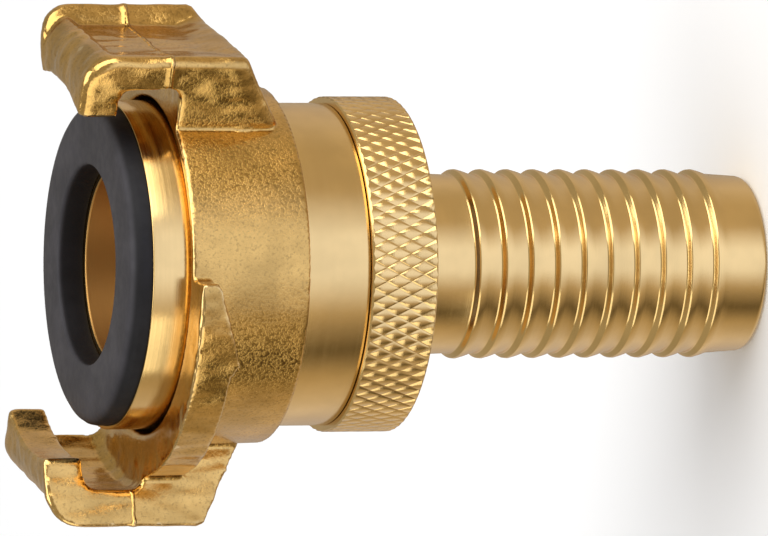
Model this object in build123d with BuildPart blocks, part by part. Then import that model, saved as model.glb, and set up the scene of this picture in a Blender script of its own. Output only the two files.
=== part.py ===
from build123d import *
import os
from math import radians, tan

# Claw quick coupling half for a 19 mm hose: a forged claw ring, a barbed hose tail
# that carries the flat seal, and a knurled nut that drives the tail forward.
# Millimetres.  Lengths along the axis are counted from the claw fronts to the hose end,
# and each finished piece is then turned over, so that the coupling stands on its hose
# end with the claws at the top.  The outer flats of the claws face +X and -X.

# ---------------------------------------------------------------- driving sizes
# Claw ring, along the axis from the claw fronts
hook_thickness = 4.3
mating_gap = 6.5
body_length = 13.0
neck_length = 7.0

# Claw ring, across the axis
body_wall = 1.3
body_draft = 0.2
neck_wall = 2.2
hook_gap = 1.2
hook_depth = 3.3
notch_fillet = 1.4
mouth_chamfer = 0.35
thread_step = 2.9
root_overlap = 0.3

# Claws
thumb_wall = 0.8
crest_height = 0.8
rim_height = 1.9
claw_nose = 3.5
rim_width = 1.3
rim_foot = -6.7
thumb_lead_edge = 4.6
thumb_front = 3.9
thumb_back = 14.6
thumb_front_run = 1.0
thumb_back_run = 3.0
thumb_lead_run = 5.0
stop_side_foot = -4.6
stop_side_draft = 30.0
lead_side_foot = 8.9
lead_side_draft = 14.0
claw_heel = 2.4
claw_back_lean = 29.0
claw_tail_length = 11.4
lead_edge_radius = 1.1
stop_edge_radius = 0.5

# Locking flanges, with angles from +X
flange_catch = 2.1
flange_stock = 4.5
seat_thickness = 4.2
ramp_start_thickness = 2.0
ramp_peak_thickness = 5.0
ramp_start_angle = 79.5
ramp_peak_angle = 102.9
seat_start_angle = 106.5
seat_end_angle = 166.0

# Hose tail
head_radius = 17.45
head_length = 6.8
rim_recess = 0.7
rim_wall = 0.35
retraction = 6.0
throat_radius = 9.9
throat_depth = 6.0
throat_taper = 30.0
tail_bore_radius = 7.75
stem_radius = 10.3
land_radius = 9.8
land_step = 0.6
barb_radius = 10.15
barb_valley = 9.65
barb_pitch = 2.99
barb_count = 10
barb_face = 0.9
land_length = 6.5
lead_length = 5.9
lead_radius = 9.4
lead_edge = 0.75

# Seal
seal_bore_radius = 10.6
seal_proud = 2.2
seal_nose = 2.0
seal_bore_edge = 0.4
seal_key_width = 2.8
seal_key_margin = 2.25
seal_key_depth = 2.4

# Knurled nut
knurl_step = 0.9
knurl_length = 7.25
knurl_bevel = 0.5
nut_lead = 1.0
recess_room = 0.5
recess_depth = 2.6

# Slip ring and retaining ring
slip_thickness = 1.0
slip_margin = 1.3
clip_thickness = 1.2
clip_height = 1.9
clip_groove_depth = 1.1
clip_mouth = 5.0

# Clearances
head_clearance = 0.45
stem_clearance = 0.1
thread_clearance = 0.1
nut_stand_off = 0.15
stop_clearance = 0.3
face_clearance = 0.05
key_clearance = 0.05

# How far a cutting profile runs past the face that it opens
overrun = 0.01

# ---------------------------------------------------------------- worked-out places
ring_front = hook_thickness + mating_gap
ring_rear = ring_front + body_length
neck_rear = ring_rear + neck_length

counterbore_radius = head_radius + head_clearance
thread_radius = counterbore_radius - thread_step
spigot_radius = thread_radius - thread_clearance
neck_radius = thread_radius + neck_wall
knurl_radius = neck_radius + knurl_step
body_radius = counterbore_radius + body_wall
hook_radius = body_radius + hook_gap
notch_radius = hook_radius + hook_depth
thumb_flat = notch_radius + thumb_wall
flange_radius = hook_radius + flange_catch
flange_blank_radius = flange_radius + flange_stock
seal_key_outer = head_radius - seal_key_margin
seal_key_inner = seal_key_outer - seal_key_width
slip_outer_radius = spigot_radius - slip_margin
clip_outer_radius = stem_radius + clip_height
recess_radius = clip_outer_radius + recess_room

seal_front = ring_front - retraction
head_front = seal_front + seal_proud
head_rear = head_front + head_length
counterbore_floor = head_rear + retraction + stop_clearance

slip_front = head_rear + face_clearance
slip_rear = slip_front + slip_thickness
nut_front = slip_rear + face_clearance
knurl_front = neck_rear + nut_stand_off
knurl_rear = knurl_front + knurl_length
nut_bore_radius = stem_radius + stem_clearance

clip_front = knurl_rear - recess_depth + face_clearance
clip_rear = clip_front + clip_thickness
clip_groove_radius = stem_radius - clip_groove_depth

first_barb = knurl_rear + land_length + barb_face
last_barb = first_barb + (barb_count - 1) * barb_pitch
tail_end = last_barb + lead_length

os.makedirs("parts", exist_ok=True)


def claws_up(part):
    """A finished piece turned over, to stand with its hose end on z = 0."""
    return part.rotate(Axis.X, 180).translate((0, 0, tail_end))


# ---------------------------------------------------------------- one claw
# The space under the hook: the mating flange turns in here, between the hook and the
# front face of the ring.
with BuildPart() as hook_space:
    with BuildSketch(Plane.XZ) as hook_profile:
        with BuildLine():
            Polyline(
                (0, -overrun),
                (hook_radius, -overrun),
                (hook_radius, hook_thickness),
                (notch_radius, hook_thickness),
                (notch_radius, ring_front),
                (0, ring_front),
                close=True,
            )
        make_face()
        notch_corners = hook_profile.vertices().group_by(Axis.X)[-1]
        fillet(notch_corners, notch_fillet)
    revolve(axis=Axis.Z)

# In section across the axis the claw is a block whose sides lean out as forging draft,
# with a high rim along its stop side and a shallow thumb recess in its outer face.
claw_root = neck_radius + root_overlap
claw_crest = thumb_flat + crest_height
rim_top = thumb_flat + rim_height
rim_root = thumb_flat - claw_nose
heel_foot = ring_front + claw_tail_length


def stop_side(height):
    return stop_side_foot - (height - claw_root) * tan(radians(stop_side_draft))


def lead_side(height):
    return lead_side_foot + (height - claw_root) * tan(radians(lead_side_draft))


def heel(height):
    return heel_foot - (height - claw_root) * tan(radians(claw_back_lean))


def claw_strip(root, top, section):
    """A length of the claw's section, with a rolled nose and a leaning back."""
    with BuildPart() as strip:
        with BuildSketch(Plane.XY):
            with BuildLine():
                Polyline(*section, close=True)
            make_face()
        extrude(amount=ring_rear)
        with BuildSketch(Plane.XZ) as strip_side:
            with BuildLine():
                Polyline((root, 0), (top, 0), (top, heel(top)), (root, heel(root)), close=True)
            make_face()
            outer_corners = strip_side.vertices().group_by(Axis.X)[-1].sort_by(Axis.Y)
            fillet(outer_corners[0], claw_nose)
            fillet(outer_corners[-1], claw_heel)
        extrude(amount=2 * body_radius, both=True, mode=Mode.INTERSECT)
    return strip.part


core_section = (
    (claw_root, stop_side(claw_root)),
    (claw_crest, stop_side(claw_crest)),
    (claw_crest, lead_side(claw_crest)),
    (claw_root, lead_side(claw_root)),
)
rim_section = (
    (rim_root, stop_side(rim_root)),
    (rim_top, stop_side(rim_top)),
    (rim_top, stop_side(rim_top) + rim_width),
    (thumb_flat, rim_foot),
    (rim_root, rim_foot + rim_width),
)

with BuildPart() as core:
    add(claw_strip(claw_root, claw_crest, core_section))
    lead_face = core.faces().sort_by(Axis.Y)[-1]
    lead_edges = lead_face.edges().filter_by(lambda edge: edge.center().X > claw_root + 1)
    fillet(lead_edges, lead_edge_radius)
    # The thumb recess: its floor is the flat, and its ends slope up to the crests.
    for floor, reach in ((thumb_flat, 0), (claw_crest, 1)):
        with BuildSketch(Plane.YZ.offset(floor)):
            with BuildLine():
                Polyline(
                    (rim_foot - 2 * rim_width, thumb_front - reach * thumb_front_run),
                    (thumb_lead_edge + reach * thumb_lead_run, thumb_front - reach * thumb_front_run),
                    (thumb_lead_edge + reach * thumb_lead_run, thumb_back + reach * thumb_back_run),
                    (rim_foot - 2 * rim_width, thumb_back + reach * thumb_back_run),
                    close=True,
                )
            make_face()
    loft(ruled=True, mode=Mode.SUBTRACT)

with BuildPart() as rim:
    add(claw_strip(rim_root, rim_top, rim_section))
    rim_crests = rim.edges().filter_by(Axis.Z).group_by(Axis.X)[-1]
    fillet(rim_crests, stop_edge_radius)

with BuildPart() as claw:
    add(core.part)
    add(rim.part)
    add(hook_space.part, mode=Mode.SUBTRACT)

# ---------------------------------------------------------------- one locking flange
# The mating hook climbs the ramp, drops over its peak and rests on the seat until it
# meets the stop side of the next claw.
ramp_points = (
    (ramp_start_angle, ramp_start_thickness),
    (ramp_peak_angle, ramp_peak_thickness),
    (seat_start_angle, seat_thickness),
    (seat_end_angle, seat_thickness),
)
ramp_slice = 8.0
flange_inner = neck_radius + root_overlap

with BuildPart() as flange:
    for (angle_a, thick_a), (angle_b, thick_b) in zip(ramp_points, ramp_points[1:]):
        slices = max(1, round((angle_b - angle_a) / ramp_slice))
        for step in range(slices):
            for share in (step / slices, (step + 1) / slices):
                angle = angle_a + (angle_b - angle_a) * share
                thickness = thick_a + (thick_b - thick_a) * share
                across = Plane(
                    origin=(0, 0, ring_front),
                    x_dir=Vector(1, 0, 0).rotate(Axis.Z, angle),
                    z_dir=Vector(0, -1, 0).rotate(Axis.Z, angle),
                )
                with BuildSketch(across):
                    with Locations((flange_inner, 0)):
                        Rectangle(
                            flange_blank_radius - flange_inner,
                            thickness,
                            align=(Align.MIN, Align.MIN),
                        )
            loft(ruled=True)
    with BuildSketch(Plane.XY.offset(ring_front)):
        Circle(flange_radius)
    extrude(amount=body_length, mode=Mode.INTERSECT)

# ---------------------------------------------------------------- claw ring
with BuildPart() as claw_ring:
    with BuildSketch(Plane.XZ):
        with BuildLine():
            Polyline(
                (0, ring_front),
                (body_radius, ring_front),
                (body_radius - body_draft, ring_rear),
                (neck_radius, ring_rear),
                (neck_radius, neck_rear),
                (0, neck_rear),
                close=True,
            )
        make_face()
    revolve(axis=Axis.Z)
    for turn in (0, 180):
        add(claw.part.rotate(Axis.Z, turn))
        add(flange.part.rotate(Axis.Z, turn))
    # The bore: an open counterbore for the tail's head, then the nut's thread.
    with BuildSketch(Plane.XZ):
        with BuildLine():
            Polyline(
                (0, ring_front - overrun),
                (counterbore_radius + mouth_chamfer, ring_front - overrun),
                (counterbore_radius, ring_front + mouth_chamfer),
                (counterbore_radius, counterbore_floor),
                (thread_radius, counterbore_floor),
                (thread_radius, neck_rear + overrun),
                (0, neck_rear + overrun),
                close=True,
            )
        make_face()
    revolve(axis=Axis.Z, mode=Mode.SUBTRACT)
claw_ring.part = claws_up(claw_ring.part)
claw_ring.part.label = "claw_ring"
export_step(claw_ring.part, "parts/claw_ring.step")

# ---------------------------------------------------------------- hose tail
key_groove_inner = seal_key_inner - key_clearance
key_groove_outer = seal_key_outer + key_clearance
seal_seat = head_front + rim_recess
key_groove_floor = seal_seat + seal_key_depth + key_clearance
seal_radius = head_radius - rim_wall - key_clearance
throat_rear = seal_seat + throat_depth
taper_length = (throat_radius - tail_bore_radius) / tan(radians(throat_taper))
land_start = knurl_rear + land_step

with BuildPart() as hose_tail:
    with BuildSketch(Plane.XZ) as tail_profile:
        with BuildLine():
            outline = [
                (tail_bore_radius, tail_end),
                (tail_bore_radius, throat_rear + taper_length),
                (throat_radius, throat_rear),
                (throat_radius, seal_seat),
                (key_groove_inner, seal_seat),
                (key_groove_inner, key_groove_floor),
                (key_groove_outer, key_groove_floor),
                (key_groove_outer, seal_seat),
                (head_radius - rim_wall, seal_seat),
                (head_radius - rim_wall, head_front),
                (head_radius, head_front),
                (head_radius, head_rear),
                (stem_radius, head_rear),
                (stem_radius, clip_front - face_clearance),
                (clip_groove_radius, clip_front - face_clearance),
                (clip_groove_radius, clip_rear + face_clearance),
                (stem_radius, clip_rear + face_clearance),
                (stem_radius, knurl_rear),
                (land_radius, land_start),
            ]
            for number in range(barb_count):
                crest = first_barb + number * barb_pitch
                outline.append((barb_valley, crest - barb_face))
                outline.append((barb_radius, crest))
            outline.append((lead_radius, tail_end))
            Polyline(*outline, close=True)
        make_face()
        end_corners = tail_profile.vertices().group_by(Axis.Y)[-1].sort_by(Axis.X)
        fillet(end_corners[-1], lead_edge)
        chamfer(end_corners[0], lead_edge / 2)
    revolve(axis=Axis.Z)
hose_tail.part = claws_up(hose_tail.part)
hose_tail.part.label = "hose_tail"
export_step(hose_tail.part, "parts/hose_tail.step")

# ---------------------------------------------------------------- seal
# A rubber ring with a rolled nose, let into the head's rim, with a key on its back that
# is pressed into the head's groove.
with BuildPart() as seal:
    with BuildSketch(Plane.XZ) as seal_profile:
        with BuildLine():
            Polyline(
                (seal_bore_radius, seal_front),
                (seal_radius, seal_front),
                (seal_radius, seal_seat),
                (seal_key_outer, seal_seat),
                (seal_key_outer, seal_seat + seal_key_depth),
                (seal_key_inner, seal_seat + seal_key_depth),
                (seal_key_inner, seal_seat),
                (seal_bore_radius, seal_seat),
                close=True,
            )
        make_face()
        face_corners = seal_profile.vertices().group_by(Axis.Y)[0].sort_by(Axis.X)
        fillet(face_corners[0], seal_bore_edge)
        fillet(face_corners[-1], seal_nose)
    revolve(axis=Axis.Z)
seal.part = claws_up(seal.part)
seal.part.label = "seal"
export_step(seal.part, "parts/seal.step")

# ---------------------------------------------------------------- knurled nut
with BuildPart() as knurled_nut:
    with BuildSketch(Plane.XZ) as nut_profile:
        with BuildLine():
            Polyline(
                (nut_bore_radius, nut_front),
                (spigot_radius - nut_lead, nut_front),
                (spigot_radius, nut_front + nut_lead),
                (spigot_radius, knurl_front),
                (knurl_radius, knurl_front),
                (knurl_radius, knurl_rear),
                (recess_radius, knurl_rear),
                (recess_radius, knurl_rear - recess_depth),
                (nut_bore_radius, knurl_rear - recess_depth),
                close=True,
            )
        make_face()
        rim_corners = nut_profile.vertices().group_by(Axis.X)[-1]
        chamfer(rim_corners, knurl_bevel)
    revolve(axis=Axis.Z)
knurled_nut.part = claws_up(knurled_nut.part)
knurled_nut.part.label = "knurled_nut"
export_step(knurled_nut.part, "parts/knurled_nut.step")

# ---------------------------------------------------------------- slip ring
with BuildPart() as slip_ring:
    with BuildSketch(Plane.XY.offset(slip_front)):
        Circle(slip_outer_radius)
        Circle(stem_radius + stem_clearance, mode=Mode.SUBTRACT)
    extrude(amount=slip_thickness)
slip_ring.part = claws_up(slip_ring.part)
slip_ring.part.label = "slip_ring"
export_step(slip_ring.part, "parts/slip_ring.step")

# ---------------------------------------------------------------- retaining ring
# An open spring ring in the stem's groove.  It draws the tail back with the nut.
with BuildPart() as retaining_ring:
    with BuildSketch(Plane.XY.offset(clip_front)) as clip_face:
        Circle(clip_outer_radius)
        Circle(clip_groove_radius + face_clearance, mode=Mode.SUBTRACT)
        with Locations((0, -clip_outer_radius)):
            Rectangle(clip_mouth, 2 * clip_outer_radius, mode=Mode.SUBTRACT)
    extrude(amount=clip_thickness)
retaining_ring.part = claws_up(retaining_ring.part)
retaining_ring.part.label = "retaining_ring"
export_step(retaining_ring.part, "parts/retaining_ring.step")
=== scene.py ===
"""Looks of a brass claw quick coupling half with a knurled nut and a barbed hose tail.

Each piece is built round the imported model, in metres, with +Z from the hose end to the
claws.  Lengths along the axis are written in millimetres from the claw fronts, as on a
maker's drawing, and turned into heights by height_of().
"""

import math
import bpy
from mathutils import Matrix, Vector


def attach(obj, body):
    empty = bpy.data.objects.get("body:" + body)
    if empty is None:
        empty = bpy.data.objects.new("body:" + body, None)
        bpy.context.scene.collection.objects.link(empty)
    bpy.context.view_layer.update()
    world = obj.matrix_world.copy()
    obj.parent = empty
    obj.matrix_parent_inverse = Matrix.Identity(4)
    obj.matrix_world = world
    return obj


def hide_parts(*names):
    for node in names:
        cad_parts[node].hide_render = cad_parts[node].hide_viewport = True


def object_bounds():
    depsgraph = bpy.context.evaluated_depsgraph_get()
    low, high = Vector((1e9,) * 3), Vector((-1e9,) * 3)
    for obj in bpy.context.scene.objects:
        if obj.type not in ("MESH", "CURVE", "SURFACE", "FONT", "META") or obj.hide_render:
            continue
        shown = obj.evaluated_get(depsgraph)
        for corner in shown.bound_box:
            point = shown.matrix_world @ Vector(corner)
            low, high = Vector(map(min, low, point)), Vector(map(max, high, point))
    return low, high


bl_info = {
    "name": "Claw Quick Coupling",
    "version": (1, 0, 0),
    "blender": (4, 5, 0),
    "location": "View3D > Sidebar > Coupling",
    "description": "Builds a forged brass claw coupling half, its knurled nut, hose tail and seal",
    "category": "Add Mesh",
}

import bmesh
import bpy
from bpy.props import FloatProperty, FloatVectorProperty, IntProperty, PointerProperty
from mathutils import Matrix, Vector, noise

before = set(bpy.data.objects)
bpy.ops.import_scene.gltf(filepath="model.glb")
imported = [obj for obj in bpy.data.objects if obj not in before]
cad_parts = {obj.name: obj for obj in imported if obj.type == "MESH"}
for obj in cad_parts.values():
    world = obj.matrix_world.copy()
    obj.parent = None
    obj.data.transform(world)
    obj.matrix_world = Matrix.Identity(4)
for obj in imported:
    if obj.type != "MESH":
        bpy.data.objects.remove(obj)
cad_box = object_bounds()

MM = 0.001

# Places along the axis, in millimetres from the claw fronts.
SEAL_FRONT = 4.8
HEAD_FRONT = 7.0
SEAL_SEAT = 7.7
PARTING_LINE = 9.5
RING_FRONT = 10.8
HEAD_REAR = 13.8
NUT_FRONT = 14.9
HEEL_FRONT = 16.5
RING_REAR = 23.8
NECK_REAR = 30.8
KNURL_FRONT = 30.95
CLIP_GROOVE_FRONT = 35.6
CLIP_GROOVE_REAR = 36.9
KNURL_REAR = 38.2
FIRST_BARB = 45.6
TAIL_END = 78.41
TOP = cad_box[1].z

# Sizes of the forged ring, in millimetres.
BODY_RADIUS = 19.2
BODY_DRAFT = 0.2
FLANGE_RADIUS = 22.5
HEEL_RADIUS = 22.0
SEAM_INNER_RADIUS = 24.0
NECK_BORE = 15.0
NECK_RADIUS = 17.2

# Sizes of the nut, in millimetres.
THREAD_CREST = 14.9
NUT_BORE = 10.4
SHOULDER_RADIUS = 17.75
KNURL_RADIUS = 18.1
BAND_FRONT = KNURL_FRONT + 0.25
BAND_REAR = KNURL_REAR - 0.2
RECESS_RADIUS = 12.7
RECESS_DEPTH = 2.6

# Sizes of the tail and of the seal that keys into its head, in millimetres.
TAIL_BORE = 7.75
THROAT_RADIUS = 9.9
THROAT_DEPTH = 6
THROAT_TAPER = 3.724
THROAT_END = SEAL_SEAT + THROAT_DEPTH + THROAT_TAPER
HEAD_RADIUS = 17.45
SEAT_RADIUS = 17.1
STEM_RADIUS = 10.3
CLIP_GROOVE_RADIUS = 9.2
END_RADIUS = 9.4
SEAL_BORE = 10.6
SEAL_RADIUS = 17.05
KEY_INNER = 12.4
KEY_OUTER = 15.2
KEY_DEPTH = 2.4
KEY_PLAY = 0.05
BARBS = 10
BARB_PITCH = 2.99
# One barb, steep towards the claws: radius, place behind its crest, and rounding.
BARB = (
    (9.57, -0.42, 0.16),
    (10.12, -0.08, 0.1),
    (10.15, 0.25),
    (9.97, 0.9),
    (9.68, 1.7),
)

# Shades that the coupling mirrors: angle round it from the camera's side, and level.
# The dark shades are warm and the light shades are cool.
SHADES = (
    (-180, 0.42),
    (180, 0.42),
    (-130, 0.75),
    (-90, 0.5),
    (-66, 0.13),
    (-36, 0.55),
    (-10, 1.05),
    (20, 1.12),
    (54, 0.56),
    (90, 0.55),
    (122, 0.65),
)
WARM = (1.0, 0.80, 0.52)
COOL = (0.97, 1.05, 1.4)
WARM_LEVEL = 0.45
COOL_LEVEL = 1.05
WARM_SKY = (1.0, 0.92, 0.78)
# Darker brass painted in the tail's bore and throat as painted shade.
THROAT_SHADE_BRASS = (0.55, 0.30, 0.09)
# Brighter brass painted on the forging's edges: partly rubbed wear, partly a painted edge
# highlight.
RUBBED_AND_HIGHLIGHT_BRASS = (0.96, 0.76, 0.42)

# How far the middle of the picture lies from the seal's face, in millimetres.
PICTURE_RIGHT = 31.56
PICTURE_DOWN = 0.35


def height_of(length):
    """The height, in metres, of a place that lies length millimetres behind the claw fronts."""
    return TOP - length * MM


# ------------------------------------------------------------------------- settings
class ForgingSettings(bpy.types.PropertyGroup):
    """Sizes of the forged skin of the claw ring."""

    grid: FloatProperty(
        name="Skin grid",
        description="Edge length of the skin's mesh",
        default=0.3 * MM,
        unit="LENGTH",
    )
    unevenness: FloatProperty(
        name="Unevenness",
        description="How far the forged skin wanders from the true form",
        default=0.14 * MM,
        unit="LENGTH",
    )
    flash: FloatProperty(
        name="Flash",
        description="Height of the ridge where the dies met",
        default=0.11 * MM,
        unit="LENGTH",
    )
    ripple: FloatProperty(
        name="Ripple length",
        description="Length of one wave of the unevenness",
        default=2.6 * MM,
        unit="LENGTH",
    )
    softening: IntProperty(
        name="Edge softening",
        description="Rounds of smoothing that soften the forged edges",
        default=2,
    )
    heel_softening: IntProperty(
        name="Heel softening",
        description="Rounds of smoothing that soften the rear ends of the claws",
        default=16,
    )


class NutSettings(bpy.types.PropertyGroup):
    """Sizes of the knurl and the thread."""

    diamonds: IntProperty(
        name="Diamonds round",
        description="Knurl diamonds round the nut",
        default=76,
    )
    diamond_rows: IntProperty(
        name="Half rows",
        description="Half diamonds along the knurl",
        default=5,
    )
    knurl_depth: FloatProperty(
        name="Knurl depth",
        description="Depth of the grooves between the diamonds",
        default=0.32 * MM,
        unit="LENGTH",
    )
    flat: FloatProperty(
        name="Diamond flat",
        description="Width of the flat on each diamond as a share of its pitch",
        default=62.0,
        subtype="PERCENTAGE",
    )
    thread_pitch: FloatProperty(
        name="Thread pitch",
        description="Travel of the nut in one turn",
        default=2.0 * MM,
        unit="LENGTH",
    )
    thread_depth: FloatProperty(
        name="Thread depth",
        description="Height of the thread over its root",
        default=1.1 * MM,
        unit="LENGTH",
    )


class FinishSettings(bpy.types.PropertyGroup):
    """Colours of the finishes."""

    forged_brass: FloatVectorProperty(
        name="Forged brass",
        description="Colour of the forged and blasted brass",
        subtype="COLOR",
        default=(0.70, 0.43, 0.125),
    )
    turned_brass: FloatVectorProperty(
        name="Turned brass",
        description="Colour of the turned brass",
        subtype="COLOR",
        default=(0.83, 0.57, 0.225),
    )
    rubber: FloatVectorProperty(
        name="Seal rubber",
        description="Colour of the seal",
        subtype="COLOR",
        default=(0.030, 0.028, 0.032),
    )
    slip_plastic: FloatVectorProperty(
        name="Slip ring plastic",
        description="Colour of the slip ring",
        subtype="COLOR",
        default=(0.72, 0.70, 0.62),
    )
    spring_steel: FloatVectorProperty(
        name="Spring steel",
        description="Colour of the retaining ring",
        subtype="COLOR",
        default=(0.45, 0.45, 0.47),
    )
    floor: FloatVectorProperty(
        name="Floor",
        description="Colour of the studio floor",
        subtype="COLOR",
        default=(0.93, 0.93, 0.93),
    )


class StageSettings(bpy.types.PropertyGroup):
    """Camera and lights."""

    side_turn: FloatProperty(
        name="Camera side turn",
        description="Turn of the camera round the axis",
        default=math.radians(15.5),
        subtype="ANGLE",
    )
    lift: FloatProperty(
        name="Camera lift",
        description="Height of the camera over the level of the claws, as an angle",
        default=math.radians(18.35),
        subtype="ANGLE",
    )
    roll: FloatProperty(
        name="Camera roll",
        description="Small turn of the picture",
        default=math.radians(-0.15),
        subtype="ANGLE",
    )
    distance: FloatProperty(
        name="Camera distance",
        description="Distance from the camera to the face of the seal",
        default=1.037,
        unit="LENGTH",
    )
    lens: FloatProperty(
        name="Focal length",
        description="Focal length on a 36 mm sensor",
        default=459.4,
    )
    lamp_power: FloatProperty(
        name="Lamp power",
        description="Power of the main soft lamp in watts",
        default=13.0,
    )
    sky: FloatProperty(
        name="Sky level",
        description="Level of the even light all round",
        default=0.42,
    )


# ------------------------------------------------------------------------- mesh tools
def new_piece(name, bm, body, stands_for, material, sharp_angle=35):
    """Makes the bmesh a piece that rides on a body and stands for CAD nodes."""
    mesh = bpy.data.meshes.new(name)
    bm.to_mesh(mesh)
    bm.free()
    mesh.shade_smooth()
    mesh.set_sharp_from_angle(angle=math.radians(sharp_angle))
    mesh.materials.append(material)
    piece = bpy.data.objects.new(name, mesh)
    bpy.context.scene.collection.objects.link(piece)
    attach(piece, body)
    if stands_for:
        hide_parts(*stands_for)
    return piece


def closed_outline(bm, points):
    """A closed loop of edges through (radius, length) points, in millimetres.

    A third value, where a point has one, is how far its rounding reaches to each side.
    """
    corners = [bm.verts.new((radius * MM, 0, height_of(length))) for radius, length, *_ in points]
    for first, second in zip(corners, corners[1:] + corners[:1]):
        bm.edges.new((first, second))
    for corner, (_, _, *rounding) in zip(corners, points):
        if rounding:
            bmesh.ops.bevel(
                bm,
                geom=[corner],
                offset=rounding[0] * MM,
                offset_type="OFFSET",
                segments=4,
                profile=0.5,
                affect="VERTICES",
                material=-1,
            )


def turn(bm, steps):
    """Spins everything in the bmesh once round Z and closes the seam."""
    bmesh.ops.spin(
        bm,
        geom=bm.verts[:] + bm.edges[:],
        cent=(0, 0, 0),
        axis=(0, 0, 1),
        angle=2 * math.pi,
        steps=steps,
        use_merge=True,
        use_duplicate=False,
    )
    bmesh.ops.remove_doubles(bm, verts=bm.verts[:], dist=0.001 * MM)
    bmesh.ops.recalc_face_normals(bm, faces=bm.faces[:])


def soften(bm, verts, rounds):
    """Moves each vertex half way to the middle of its neighbours, round after round."""
    for _ in range(rounds):
        bmesh.ops.smooth_vert(
            bm, verts=verts, factor=0.5, use_axis_x=True, use_axis_y=True, use_axis_z=True
        )


# ------------------------------------------------------------------------- finishes
class NodeSheet:
    """A node tree under construction, with the coordinates that its patterns follow."""

    def __init__(self, tree, coordinates):
        self.tree = tree
        self.coordinates = self.add("ShaderNodeTexCoord").outputs[coordinates]

    def add(self, kind, **settings):
        """A new node of this kind, with its settings made."""
        node = self.tree.nodes.new(kind)
        for name, value in settings.items():
            setattr(node, name, value)
        return node

    def link(self, source, target):
        """Joins an output to an input."""
        self.tree.links.new(source, target)

    def grain(self, scale, detail=3.0, roughness=0.5, coordinates=None):
        """Noise with features of about 1/scale metres."""
        node = self.add("ShaderNodeTexNoise")
        node.inputs["Scale"].default_value = scale
        node.inputs["Detail"].default_value = detail
        node.inputs["Roughness"].default_value = roughness
        self.link(coordinates or self.coordinates, node.inputs["Vector"])
        return node.outputs["Fac"]

    def remap(self, source, low, high, to_low, to_high):
        """A smooth step from to_low, where source is low, to to_high, where it is high."""
        node = self.add("ShaderNodeMapRange", interpolation_type="SMOOTHSTEP")
        for name, value in zip(
            ("From Min", "From Max", "To Min", "To Max"), (low, high, to_low, to_high)
        ):
            node.inputs[name].default_value = value
        self.link(source, node.inputs["Value"])
        return node.outputs["Result"]

    def maths(self, operation, first, second=0.0):
        """One arithmetic step on numbers or on other nodes' outputs."""
        node = self.add("ShaderNodeMath", operation=operation)
        for value, socket in zip((first, second), node.inputs):
            if isinstance(value, (int, float)):
                socket.default_value = value
            else:
                self.link(value, socket)
        return node.outputs["Value"]

    def blend(self, share, first, second):
        """A colour between first and second."""
        node = self.add("ShaderNodeMix", data_type="RGBA")
        self.link(share, node.inputs["Factor"])
        for colour, socket in ((first, node.inputs[6]), (second, node.inputs[7])):
            if isinstance(colour, (tuple, list)):
                socket.default_value = (*colour, 1.0)
            else:
                self.link(colour, socket)
        return node.outputs[2]

    def stretched(self, factors):
        """Object coordinates multiplied by the factors."""
        node = self.add("ShaderNodeVectorMath", operation="MULTIPLY")
        self.link(self.coordinates, node.inputs[0])
        node.inputs[1].default_value = factors
        return node.outputs[0]

    def radius_and_height(self):
        """Distance from the axis, and height, in metres."""
        parts = self.add("ShaderNodeSeparateXYZ")
        self.link(self.coordinates, parts.inputs[0])
        flat = self.add("ShaderNodeVectorMath", operation="MULTIPLY")
        self.link(self.coordinates, flat.inputs[0])
        flat.inputs[1].default_value = (1, 1, 0)
        length = self.add("ShaderNodeVectorMath", operation="LENGTH")
        self.link(flat.outputs[0], length.inputs[0])
        return length.outputs["Value"], parts.outputs["Z"]

    def lathe_lines(self, spacing):
        """Noise that changes along the profile and hardly round the axis."""
        radius, height = self.radius_and_height()
        place = self.add("ShaderNodeCombineXYZ")
        self.link(radius, place.inputs[0])
        self.link(height, place.inputs[2])
        return self.grain(1 / spacing, 4.0, 0.7, place.outputs[0])

    def bump(self, source, depth, below=None):
        """Relief of this depth in metres, laid over the relief below it."""
        node = self.add("ShaderNodeBump")
        node.inputs["Strength"].default_value = 1.0
        node.inputs["Distance"].default_value = depth
        self.link(source, node.inputs["Height"])
        if below:
            self.link(below, node.inputs["Normal"])
        return node.outputs["Normal"]


class Finish(NodeSheet):
    """A node material under construction, with its shader."""

    def __init__(self, name):
        self.material = bpy.data.materials.new(name)
        self.material.use_nodes = True
        super().__init__(self.material.node_tree, "Object")
        self.shader = self.tree.nodes["Principled BSDF"]

    def set(self, **values):
        """Gives the shader its values, as plain numbers or from nodes."""
        names = {
            "colour": "Base Color",
            "metallic": "Metallic",
            "roughness": "Roughness",
            "normal": "Normal",
            "specular": "Specular IOR Level",
        }
        for key, value in values.items():
            socket = self.shader.inputs[names[key]]
            if isinstance(value, (int, float)):
                socket.default_value = value
            else:
                self.link(value, socket)
        return self.material


def chosen(name):
    """The colour that the settings give a finish."""
    return tuple(getattr(bpy.context.scene.coupling_finish, name))


def shade(colour, factor):
    """The colour, darker or lighter by a factor."""
    return tuple(channel * factor for channel in colour)


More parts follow.
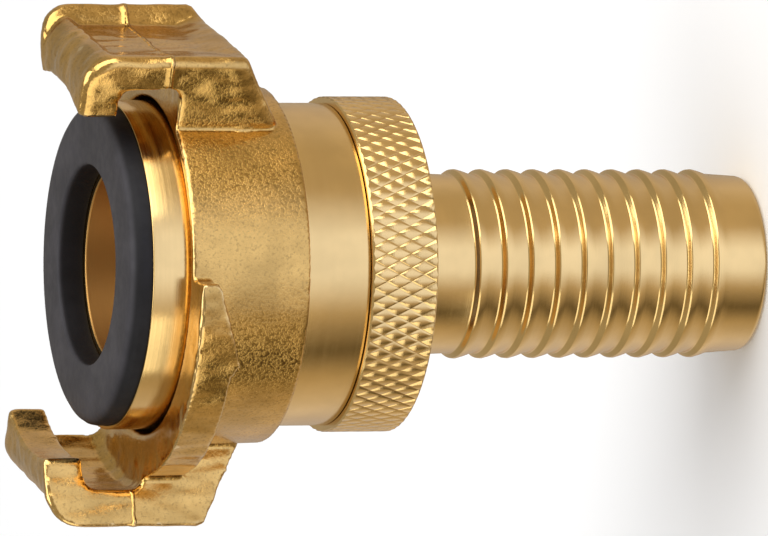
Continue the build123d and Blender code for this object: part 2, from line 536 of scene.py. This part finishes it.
def forged_brass():
    """Forged, blasted and tumbled brass: satin, grainy, with its edges painted brighter, partly
    rubbed wear and partly a painted highlight.
    """
    base = chosen("forged_brass")
    made = Finish("forged_brass")
    radius, height = made.radius_and_height()
    on_claw = made.remap(radius, (BODY_RADIUS + 0.4) * MM, (BODY_RADIUS + 1.8) * MM, 0, 1)
    clouds = made.remap(made.grain(180, 4.0, 0.6), 0.35, 0.7, 0, 1)
    speckle = made.grain(3000, 3.0, 0.65)
    tone = made.blend(clouds, shade(base, 0.80), shade(base, 1.08))
    tone = made.blend(made.remap(speckle, 0.32, 0.5, 0.5, 0), tone, shade(base, 0.45))
    # Only the edges of the claws and of the ring's front rim are painted brighter: partly rubbed
    # wear, partly a painted edge highlight.
    edges = made.remap(made.add("ShaderNodeNewGeometry").outputs["Pointiness"], 0.51, 0.58, 0, 1)
    on_rim = made.remap(height, height_of(RING_FRONT + 0.8), height_of(RING_FRONT + 0.5), 0, 0.5)
    rubbed_and_highlit = made.maths("MAXIMUM", made.maths("MULTIPLY", on_claw, 0.45), on_rim)
    colour = made.blend(made.maths("MULTIPLY", edges, rubbed_and_highlit), tone, RUBBED_AND_HIGHLIGHT_BRASS)
    roughness = made.remap(made.grain(1500, 2.0), 0.3, 0.7, 0.11, 0.2)
    # The claws are worn smooth, while the ring's body keeps the pits of the blasting.
    folds = made.grain(420, 3.0, 0.55)
    streaks = made.grain(260, 2.0, 0.5, made.stretched((1, 1, 0.4)))
    smooth = made.maths("SUBTRACT", 1.0, made.maths("MULTIPLY", on_claw, 0.6))
    pits = made.maths("MULTIPLY", made.remap(speckle, 0.44, 0.62, 0, 1), smooth)
    normal = made.bump(folds, 0.008 * MM)
    normal = made.bump(made.maths("MULTIPLY", streaks, on_claw), 0.08 * MM, below=normal)
    normal = made.bump(pits, 0.008 * MM, below=normal)
    normal = made.bump(parting_seam(made, radius, height), 0.16 * MM, below=normal)
    return made.set(colour=colour, metallic=1.0, roughness=roughness, normal=normal)


def parting_seam(made, radius, height):
    """A thin crooked seam on the parting ridge, outside the spaces under the hooks."""
    crook = made.maths("MULTIPLY", made.maths("SUBTRACT", made.grain(500, 2.0), 0.5), 0.9 * MM)
    off_seam = made.maths("SUBTRACT", made.maths("ADD", height, crook), height_of(PARTING_LINE))
    seam = made.remap(made.maths("ABSOLUTE", off_seam), 0.05 * MM, 0.24 * MM, 1, 0)
    inner, outer = (SEAM_INNER_RADIUS - 0.15) * MM, (SEAM_INNER_RADIUS + 0.15) * MM
    return made.maths("MULTIPLY", seam, made.remap(radius, inner, outer, 0, 1))


def turned_brass(name, throat=False):
    """Turned brass with fine lathe lines, and, where one is asked for, a duller bored throat whose
    darker colour is painted shade.
    """
    base = chosen("turned_brass")
    made = Finish(name)
    lines = made.lathe_lines(0.12 * MM)
    clouds = made.remap(made.grain(140, 3.0), 0.35, 0.7, 0, 1)
    colour = made.blend(clouds, shade(base, 0.9), shade(base, 1.04))
    roughness = made.remap(lines, 0.3, 0.7, 0.12, 0.23)
    if throat:
        shaded_inside = throat_share(made)
        # The bore and the throat get a darker colour as painted shade, and a rougher bored finish.
        colour = made.blend(shaded_inside, colour, THROAT_SHADE_BRASS)
        roughness = made.maths("ADD", roughness, made.maths("MULTIPLY", shaded_inside, 0.3))
    normal = made.bump(lines, 0.005 * MM)
    normal = made.bump(made.grain(700, 3.0), 0.006 * MM, below=normal)
    return made.set(colour=colour, metallic=1.0, roughness=roughness, normal=normal)


def throat_share(made):
    """One in the tail's bore and in the throat in front of it, and zero elsewhere."""
    radius, height = made.radius_and_height()
    bore = made.remap(radius, (TAIL_BORE + 0.35) * MM, (TAIL_BORE + 0.55) * MM, 1, 0)
    wide = made.remap(radius, (THROAT_RADIUS + 0.05) * MM, (THROAT_RADIUS + 0.2) * MM, 1, 0)
    front = made.remap(height, height_of(THROAT_END + 0.8), height_of(THROAT_END + 0.4), 0, 1)
    return made.maths("MAXIMUM", bore, made.maths("MULTIPLY", front, wide))


def seal_rubber():
    """Moulded rubber, near black on its sides as painted shade and lighter grey on its front face
    as painted light.
    """
    base = chosen("rubber")
    made = Finish("seal_rubber")
    clouds = made.remap(made.grain(220, 4.0), 0.35, 0.7, 0, 1)
    _, height = made.radius_and_height()
    face = made.remap(height, height_of(SEAL_FRONT + 0.7), height_of(SEAL_FRONT + 0.1), 0, 1)
    # The front face and the sides of the one rubber are painted as lit and shaded copies of it.
    lit_face_grey = made.blend(clouds, shade(base, 1.1), shade(base, 1.5))
    shaded_side_black = made.blend(clouds, shade(base, 0.3), shade(base, 0.45))
    colour = made.blend(face, shaded_side_black, lit_face_grey)
    roughness = made.remap(made.grain(900, 3.0), 0.3, 0.7, 0.5, 0.62)
    normal = made.bump(made.grain(2600, 2.0), 0.012 * MM)
    return made.set(colour=colour, roughness=roughness, normal=normal, specular=0.22)


def slip_plastic():
    """Natural white bearing plastic."""
    base = chosen("slip_plastic")
    made = Finish("slip_plastic")
    clouds = made.grain(300, 3.0)
    colour = made.blend(clouds, shade(base, 0.93), shade(base, 1.05))
    roughness = made.remap(made.grain(1200, 2.0), 0.3, 0.7, 0.35, 0.5)
    normal = made.bump(made.lathe_lines(0.2 * MM), 0.006 * MM)
    return made.set(colour=colour, roughness=roughness, normal=normal)


def spring_steel():
    """Bright drawn spring wire."""
    base = chosen("spring_steel")
    made = Finish("spring_steel")
    clouds = made.grain(400, 3.0)
    colour = made.blend(clouds, shade(base, 0.85), shade(base, 1.1))
    roughness = made.remap(made.grain(1600, 3.0), 0.3, 0.7, 0.22, 0.38)
    normal = made.bump(made.grain(2000, 3.0), 0.008 * MM)
    return made.set(colour=colour, metallic=1.0, roughness=roughness, normal=normal)


# ------------------------------------------------------------------------- operators
class COUPLING_OT_forged_ring(bpy.types.Operator):
    """The forged body of the ring with its two claws and two locking flanges"""

    bl_idname = "coupling.forged_ring"
    bl_label = "Forged ring"

    def execute(self, context):
        settings = context.scene.coupling_forging
        bm = bmesh.new()
        bm.from_mesh(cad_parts["claw_ring"].data)
        bmesh.ops.remove_doubles(bm, verts=bm.verts[:], dist=0.001 * MM)
        # The turned neck is a piece of its own, so the forging is cut off above it.
        bmesh.ops.bisect_plane(
            bm,
            geom=bm.verts[:] + bm.edges[:] + bm.faces[:],
            plane_co=(0, 0, height_of(RING_REAR - 0.02)),
            plane_no=(0, 0, 1),
            clear_inner=True,
        )
        open_edges = [edge for edge in bm.edges if edge.is_boundary]
        bmesh.ops.bridge_loops(bm, edges=open_edges)
        bmesh.ops.recalc_face_normals(bm, faces=bm.faces[:])
        piece = new_piece(
            "forged_ring", bm, "claws", ["claw_ring"], forged_brass()
        )
        self.reskin(context, piece, settings)
        return {"FINISHED"}

    def reskin(self, context, piece, settings):
        """Gives the piece an even skin, soft edges and the wander of a forging."""
        skin = piece.modifiers.new("skin", "REMESH")
        skin.mode = "VOXEL"
        skin.voxel_size = settings.grid
        skin.adaptivity = 0.0
        evaluated = piece.evaluated_get(context.evaluated_depsgraph_get())
        skinned = bpy.data.meshes.new_from_object(evaluated)
        piece.modifiers.clear()
        bm = bmesh.new()
        bm.from_mesh(skinned)
        bmesh.ops.remove_doubles(bm, verts=bm.verts[:], dist=0.05 * MM)
        forged = [vert for vert in bm.verts if self.is_forged(vert.co)]
        soften(bm, forged, settings.softening)
        soften(bm, [vert for vert in forged if self.is_heel(vert.co)], settings.heel_softening)
        self.true_round_faces(forged)
        bm.normal_update()
        self.roughen(forged, settings)
        old = piece.data
        bm.to_mesh(skinned)
        bm.free()
        skinned.name = old.name
        skinned.materials.clear()
        skinned.materials.append(old.materials[0])
        piece.data = skinned
        skinned.shade_smooth()
        bpy.data.meshes.remove(old)

    @staticmethod
    def true_round_faces(forged):
        """Puts the body and the flanges back on their true radii, clear of the grid's steps."""
        body_top, body_foot = height_of(RING_FRONT + 0.5), height_of(RING_REAR - 0.7)
        for vert in forged:
            draft = BODY_DRAFT * (height_of(RING_FRONT) - vert.co.z) / (RING_REAR - RING_FRONT)
            # Close to the rims only the nearest points move, so that the rims keep their form.
            reach = 0.3 if body_foot < vert.co.z < body_top else 0.12
            for true, near in ((BODY_RADIUS * MM - draft, reach), (FLANGE_RADIUS * MM, 0.12)):
                if abs(vert.co.xy.length - true) < near * MM:
                    vert.co.xy *= true / vert.co.xy.length

    @staticmethod
    def roughen(forged, settings):
        """Lets the skin wander, and raises a crooked ridge where the dies met."""
        ridge_width = 0.32 * MM
        for vert in forged:
            # The waves are long along the axis, and the body wanders far less than the claws.
            place = Vector((vert.co.x, vert.co.y, vert.co.z * 0.45)) / settings.ripple
            wander = noise.noise(place) + 0.5 * noise.noise(place * 2.3)
            on_claw = min(1.0, max(0.0, vert.co.xy.length / MM - (BODY_RADIUS + 0.8)))
            swell = settings.unevenness * (wander - 0.5) * (0.18 + 0.82 * on_claw)
            # Skin that faces the axis, under the hooks, has no ridge.
            crook = 0.25 * MM * noise.noise(vert.co * 300)
            off_line = (vert.co.z - height_of(PARTING_LINE) + crook) / ridge_width
            if vert.normal.xy.dot(vert.co.xy) > -0.15 * vert.co.xy.length:
                swell += on_claw * settings.flash * math.exp(-off_line * off_line)
            vert.co += vert.normal * swell

    @staticmethod
    def is_heel(place):
        """True at the rear ends of the claws."""
        return place.xy.length > HEEL_RADIUS * MM and place.z < height_of(HEEL_FRONT)

    @staticmethod
    def is_forged(place):
        """True outside the bore, the machined front of the ring and its rear face."""
        radius = place.xy.length
        if radius < (BODY_RADIUS - 0.6) * MM:
            return False
        on_face = abs(place.z - height_of(RING_FRONT)) < 0.4 * MM
        front = on_face and radius < (BODY_RADIUS + 0.2) * MM
        rear = place.z < height_of(RING_REAR - 0.4)
        return not front and not rear


class COUPLING_OT_neck(bpy.types.Operator):
    """The turned neck behind the ring, which holds the nut's thread"""

    bl_idname = "coupling.neck"
    bl_label = "Turned neck"

    def execute(self, context):
        bm = bmesh.new()
        closed_outline(
            bm,
            (
                (NECK_BORE, RING_REAR - 0.5),
                (NECK_RADIUS, RING_REAR - 0.5),
                (NECK_RADIUS, NECK_REAR + 0.08, 0.06),
                (NECK_BORE, NECK_REAR + 0.08, 0.3),
            ),
        )
        turn(bm, steps=192)
        new_piece("turned_neck", bm, "claws", [], turned_brass("neck_brass"))
        return {"FINISHED"}


class COUPLING_OT_nut(bpy.types.Operator):
    """The nut, with its diamond knurl and the thread that draws the tail"""

    bl_idname = "coupling.nut"
    bl_label = "Knurled nut"

    def execute(self, context):
        settings = context.scene.coupling_nut
        root = THREAD_CREST - settings.thread_depth / MM
        rows = settings.diamond_rows
        band = [
            (KNURL_RADIUS, BAND_FRONT + (BAND_REAR - BAND_FRONT) * row / rows)
            for row in range(rows + 1)
        ]
        bm = bmesh.new()
        closed_outline(
            bm,
            (
                (NUT_BORE, NUT_FRONT),
                (root - 0.3, NUT_FRONT),
                (root, NUT_FRONT + 0.5),
                (root, KNURL_FRONT - 0.4),
                (root + 0.4, KNURL_FRONT),
                (SHOULDER_RADIUS, KNURL_FRONT),
                *band,
                (SHOULDER_RADIUS, KNURL_REAR),
                (RECESS_RADIUS + 0.2, KNURL_REAR),
                (RECESS_RADIUS, KNURL_REAR - 0.2),
                (RECESS_RADIUS, KNURL_REAR - RECESS_DEPTH),
                (NUT_BORE, KNURL_REAR - RECESS_DEPTH),
            ),
        )
        turn(bm, steps=2 * settings.diamonds)
        self.cut_knurl(bm, settings)
        self.add_thread(bm, settings, root)
        new_piece(
            "nut_body", bm, "nut", ["knurled_nut"], turned_brass("nut_brass"), 28
        )
        return {"FINISHED"}

    @staticmethod
    def cut_knurl(bm, settings):
        """Sinks every other corner of the band, so that the others stand as diamonds."""
        column = math.pi / settings.diamonds
        row = (BAND_REAR - BAND_FRONT) * MM / settings.diamond_rows
        crests, valleys = [], []
        for vert in bm.verts:
            if vert.co.xy.length < (KNURL_RADIUS - 0.1) * MM:
                continue
            around = round(math.atan2(vert.co.y, vert.co.x) / column)
            along = round((height_of(BAND_FRONT) - vert.co.z) / row)
            (valleys if (around + along) % 2 else crests).append(vert)
        for vert in valleys:
            vert.co.xy *= 1 - settings.knurl_depth / vert.co.xy.length
        sunk = set(valleys)
        for face in list(bm.faces):
            pair = [vert for vert in face.verts if vert in sunk]
            if len(pair) == 2 and len(face.verts) == 4:
                bmesh.utils.face_split(face, *pair)
        bmesh.ops.bevel(
            bm,
            geom=crests,
            offset=settings.flat,
            offset_type="PERCENT",
            segments=1,
            profile=0.5,
            affect="VERTICES",
            material=-1,
        )
        bm.normal_update()

    @staticmethod
    def add_thread(bm, settings, root):
        """A right-hand coil of thread round the nut's spigot."""
        pitch = settings.thread_pitch
        steps_a_turn = 72
        start, end = height_of(KNURL_FRONT - 1.6), height_of(NUT_FRONT + 2.4)
        turns = (end - start) / pitch
        # The thread's section: radius, and place along the axis as a share of the pitch.
        section = (
            (root - 0.1, -0.45),
            (THREAD_CREST, -0.12),
            (THREAD_CREST, 0.12),
            (root - 0.1, 0.45),
        )
        coil = bmesh.new()
        corners = [
            coil.verts.new((radius * MM, 0, start + rise * pitch)) for radius, rise in section
        ]
        face = coil.faces.new(corners)
        bmesh.ops.spin(
            coil,
            geom=[face, *face.edges, *face.verts],
            cent=(0, 0, 0),
            axis=(0, 0, 1),
            dvec=(0, 0, pitch / steps_a_turn),
            angle=2 * math.pi * turns,
            steps=round(turns * steps_a_turn),
            use_merge=False,
            use_duplicate=False,
        )
        bmesh.ops.recalc_face_normals(coil, faces=coil.faces[:])
        mesh = bpy.data.meshes.new("thread_coil")
        coil.to_mesh(mesh)
        coil.free()
        bm.from_mesh(mesh)
        bpy.data.meshes.remove(mesh)


class COUPLING_OT_tail(bpy.types.Operator):
    """The hose tail, with its head, throat and barbs"""

    bl_idname = "coupling.tail"
    bl_label = "Hose tail"

    def execute(self, context):
        key_floor = SEAL_SEAT + KEY_DEPTH + KEY_PLAY
        points = [
            (TAIL_BORE, TAIL_END, 0.35),
            (TAIL_BORE, THROAT_END),
            (THROAT_RADIUS, SEAL_SEAT + THROAT_DEPTH),
            (THROAT_RADIUS, SEAL_SEAT, 0.2),
            (KEY_INNER - KEY_PLAY, SEAL_SEAT),
            (KEY_INNER - KEY_PLAY, key_floor),
            (KEY_OUTER + KEY_PLAY, key_floor),
            (KEY_OUTER + KEY_PLAY, SEAL_SEAT),
            (SEAT_RADIUS, SEAL_SEAT),
            (SEAT_RADIUS, HEAD_FRONT),
            (HEAD_RADIUS, HEAD_FRONT, 0.1),
            (HEAD_RADIUS, HEAD_REAR, 0.4),
            (STEM_RADIUS, HEAD_REAR),
            (STEM_RADIUS, CLIP_GROOVE_FRONT),
            (CLIP_GROOVE_RADIUS, CLIP_GROOVE_FRONT),
            (CLIP_GROOVE_RADIUS, CLIP_GROOVE_REAR),
            (STEM_RADIUS, CLIP_GROOVE_REAR),
            (STEM_RADIUS, KNURL_REAR),
            (STEM_RADIUS - 0.5, KNURL_REAR + 0.6, 0.3),
        ]
        for number in range(BARBS):
            crest = FIRST_BARB + BARB_PITCH * number
            points += [(radius, crest + behind, *rounding) for radius, behind, *rounding in BARB]
        points.append((END_RADIUS, TAIL_END, 0.7))
        bm = bmesh.new()
        closed_outline(bm, points)
        turn(bm, steps=192)
        brass = turned_brass("tail_brass", throat=True)
        new_piece("barbed_tail", bm, "tail", ["hose_tail"], brass)
        return {"FINISHED"}


class COUPLING_OT_seal(bpy.types.Operator):
    """The flat rubber seal with its rolled nose and its key"""

    bl_idname = "coupling.seal"
    bl_label = "Seal"

    def execute(self, context):
        bm = bmesh.new()
        closed_outline(
            bm,
            (
                (SEAL_BORE, SEAL_FRONT, 0.4),
                (SEAL_RADIUS, SEAL_FRONT, 1.3),
                (SEAL_RADIUS, SEAL_SEAT),
                (KEY_OUTER, SEAL_SEAT),
                (KEY_OUTER, SEAL_SEAT + KEY_DEPTH),
                (KEY_INNER, SEAL_SEAT + KEY_DEPTH),
                (KEY_INNER, SEAL_SEAT),
                (SEAL_BORE, SEAL_SEAT, 0.2),
            ),
        )
        turn(bm, steps=160)
        new_piece("seal_ring", bm, "tail", ["seal"], seal_rubber(), 50)
        return {"FINISHED"}


class COUPLING_OT_inner_rings(bpy.types.Operator):
    """Finishes of the slip ring and the retaining ring, which keep their own meshes"""

    bl_idname = "coupling.inner_rings"
    bl_label = "Inner rings"

    def execute(self, context):
        for node, material in (("slip_ring", slip_plastic()), ("retaining_ring", spring_steel())):
            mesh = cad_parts[node].data
            mesh.materials.clear()
            mesh.materials.append(material)
        return {"FINISHED"}


class COUPLING_OT_stage(bpy.types.Operator):
    """Floor, lamps, sky and camera"""

    bl_idname = "coupling.stage"
    bl_label = "Stage"

    def execute(self, context):
        settings = context.scene.coupling_stage
        context.scene.view_settings.view_transform = "Standard"
        self.lay_floor(context)
        self.light(context, settings)
        self.place_camera(context, settings)
        return {"FINISHED"}

    @staticmethod
    def lay_floor(context):
        """A wide round sheet of pale paper, which takes the coupling's shadow."""
        bm = bmesh.new()
        bmesh.ops.create_circle(bm, cap_ends=True, segments=96, radius=8.0)
        mesh = bpy.data.meshes.new("floor")
        bm.to_mesh(mesh)
        bm.free()
        floor = bpy.data.objects.new("floor", mesh)
        context.scene.collection.objects.link(floor)
        made = Finish("floor_paper")
        colour = chosen("floor")
        fibres = made.blend(made.grain(60, 3.0), shade(colour, 0.995), shade(colour, 1.0))
        mesh.materials.append(made.set(colour=fibres, roughness=0.9, specular=0.0))
        # The coupling's sides mirror the shades below the skyline instead of the floor.
        floor.visible_glossy = False

    @staticmethod
    def shade_colour(level):
        """The colour of a shade of this level, between warm and cool."""
        cool = min(1.0, max(0.0, (level - WARM_LEVEL) / (COOL_LEVEL - WARM_LEVEL)))
        return [level * (warm + (cold - warm) * cool) for warm, cold in zip(WARM, COOL)]

    def light(self, context, settings):
        """The sky and three soft square lamps."""
        world = bpy.data.worlds.new("studio")
        context.scene.world = world
        world.use_nodes = True
        self.shade_reflections(world.node_tree, settings)
        aim = Vector((0, 0, height_of(35)))
        right, up, back = self.camera_axes(settings)
        # Each lamp's name, place from the aim, width in metres and share of the lamp power.
        lamps = (
            ("key", up * 1.0 + back * 0.7 - right * 0.2, 1.3, 1.0),
            ("top", Vector((0, 0, 1.4)) + up * 0.2, 1.3, 1.0),
            ("low", -up * 0.9 + back * 0.6, 0.9, 0.25),
        )
        for name, place, size, share in lamps:
            data = bpy.data.lights.new(name, "AREA")
            data.shape = "SQUARE"
            data.size = size
            data.energy = settings.lamp_power * share
            lamp = bpy.data.objects.new(name, data)
            lamp.location = aim + place
            lamp.rotation_euler = (-place).to_track_quat("-Z", "Y").to_euler()
            lamp.visible_camera = False
            context.scene.collection.objects.link(lamp)

    def shade_reflections(self, tree, settings):
        """An even sky, with shades below the skyline that only reflections see."""
        made = NodeSheet(tree, "Generated")
        turned = made.add("ShaderNodeVectorRotate", rotation_type="Z_AXIS")
        turned.inputs["Angle"].default_value = math.radians(90) - settings.side_turn
        made.link(made.coordinates, turned.inputs["Vector"])
        circle = made.add("ShaderNodeTexGradient", gradient_type="RADIAL")
        made.link(turned.outputs["Vector"], circle.inputs["Vector"])
        ramp = made.add("ShaderNodeValToRGB")
        made.link(circle.outputs["Fac"], ramp.inputs["Fac"])
        stops = ramp.color_ramp.elements
        # The ramp has its two end stops from the start.
        for number, (angle, level) in enumerate(SHADES):
            place = 0.5 + angle / 360
            stop = stops[number] if number < 2 else stops.new(place)
            stop.position = place
            stop.color = (*self.shade_colour(level), 1)
        parts = made.add("ShaderNodeSeparateXYZ")
        made.link(made.coordinates, parts.inputs[0])
        below = made.remap(parts.outputs["Z"], -0.03, 0.03, 1, 0)
        mirrored = made.add("ShaderNodeLightPath").outputs["Is Glossy Ray"]
        shades = made.blend(below, shade(WARM_SKY, settings.sky), ramp.outputs["Color"])
        colour = made.blend(mirrored, (settings.sky,) * 3, shades)
        made.link(colour, tree.nodes["Background"].inputs["Color"])

    @staticmethod
    def camera_axes(settings):
        """Right, up and backward directions of the camera before its roll."""
        turned, lift = settings.side_turn, settings.lift
        up = Vector((math.cos(turned), math.sin(turned), 0))
        level = Vector((math.sin(turned), -math.cos(turned), 0))
        back = level * math.cos(lift) + Vector((0, 0, math.sin(lift)))
        return up.cross(back), up, back

    def place_camera(self, context, settings):
        """A long lens that looks square to the picture's middle."""
        right, up, back = self.camera_axes(settings)
        roll = Matrix.Rotation(settings.roll, 3, back)
        right, up = roll @ right, roll @ up
        data = bpy.data.cameras.new("camera")
        data.sensor_width = 36.0
        data.lens = settings.lens
        data.clip_start = 0.05
        data.clip_end = 50.0
        camera = bpy.data.objects.new("camera", data)
        seal_face = Vector((0, 0, height_of(SEAL_FRONT)))
        place = seal_face + right * PICTURE_RIGHT * MM - up * PICTURE_DOWN * MM
        place += back * settings.distance
        turned = Matrix((right, up, back)).transposed().to_4x4()
        camera.matrix_world = Matrix.Translation(place) @ turned
        context.scene.collection.objects.link(camera)
        context.scene.camera = camera


class COUPLING_PT_panel(bpy.types.Panel):
    """Lists the settings and the operators"""

    bl_idname = "COUPLING_PT_panel"
    bl_label = "Claw Coupling"
    bl_space_type = "VIEW_3D"
    bl_region_type = "UI"
    bl_category = "Coupling"

    def draw(self, context):
        layout = self.layout
        for name, group in SETTINGS.items():
            box = layout.box()
            settings = getattr(context.scene, name)
            for key in group.__annotations__:
                box.prop(settings, key)
        for operator in OPERATORS:
            layout.operator(operator.bl_idname)


SETTINGS = {
    "coupling_forging": ForgingSettings,
    "coupling_nut": NutSettings,
    "coupling_finish": FinishSettings,
    "coupling_stage": StageSettings,
}
OPERATORS = (
    COUPLING_OT_forged_ring,
    COUPLING_OT_neck,
    COUPLING_OT_nut,
    COUPLING_OT_tail,
    COUPLING_OT_seal,
    COUPLING_OT_inner_rings,
    COUPLING_OT_stage,
)
CLASSES = (*SETTINGS.values(), *OPERATORS, COUPLING_PT_panel)


def register():
    """Registers the classes and puts the settings on the scene."""
    for cls in CLASSES:
        bpy.utils.register_class(cls)
    for name, group in SETTINGS.items():
        setattr(bpy.types.Scene, name, PointerProperty(type=group))


def unregister():
    """Takes the settings off the scene and unregisters the classes."""
    for name in SETTINGS:
        delattr(bpy.types.Scene, name)
    for cls in reversed(CLASSES):
        bpy.utils.unregister_class(cls)


def main():
    """Builds every piece and the stage."""
    register()
    bpy.ops.coupling.forged_ring()
    bpy.ops.coupling.neck()
    bpy.ops.coupling.nut()
    bpy.ops.coupling.tail()
    bpy.ops.coupling.seal()
    bpy.ops.coupling.inner_rings()
    bpy.ops.coupling.stage()


if __name__ == "__main__":
    main()
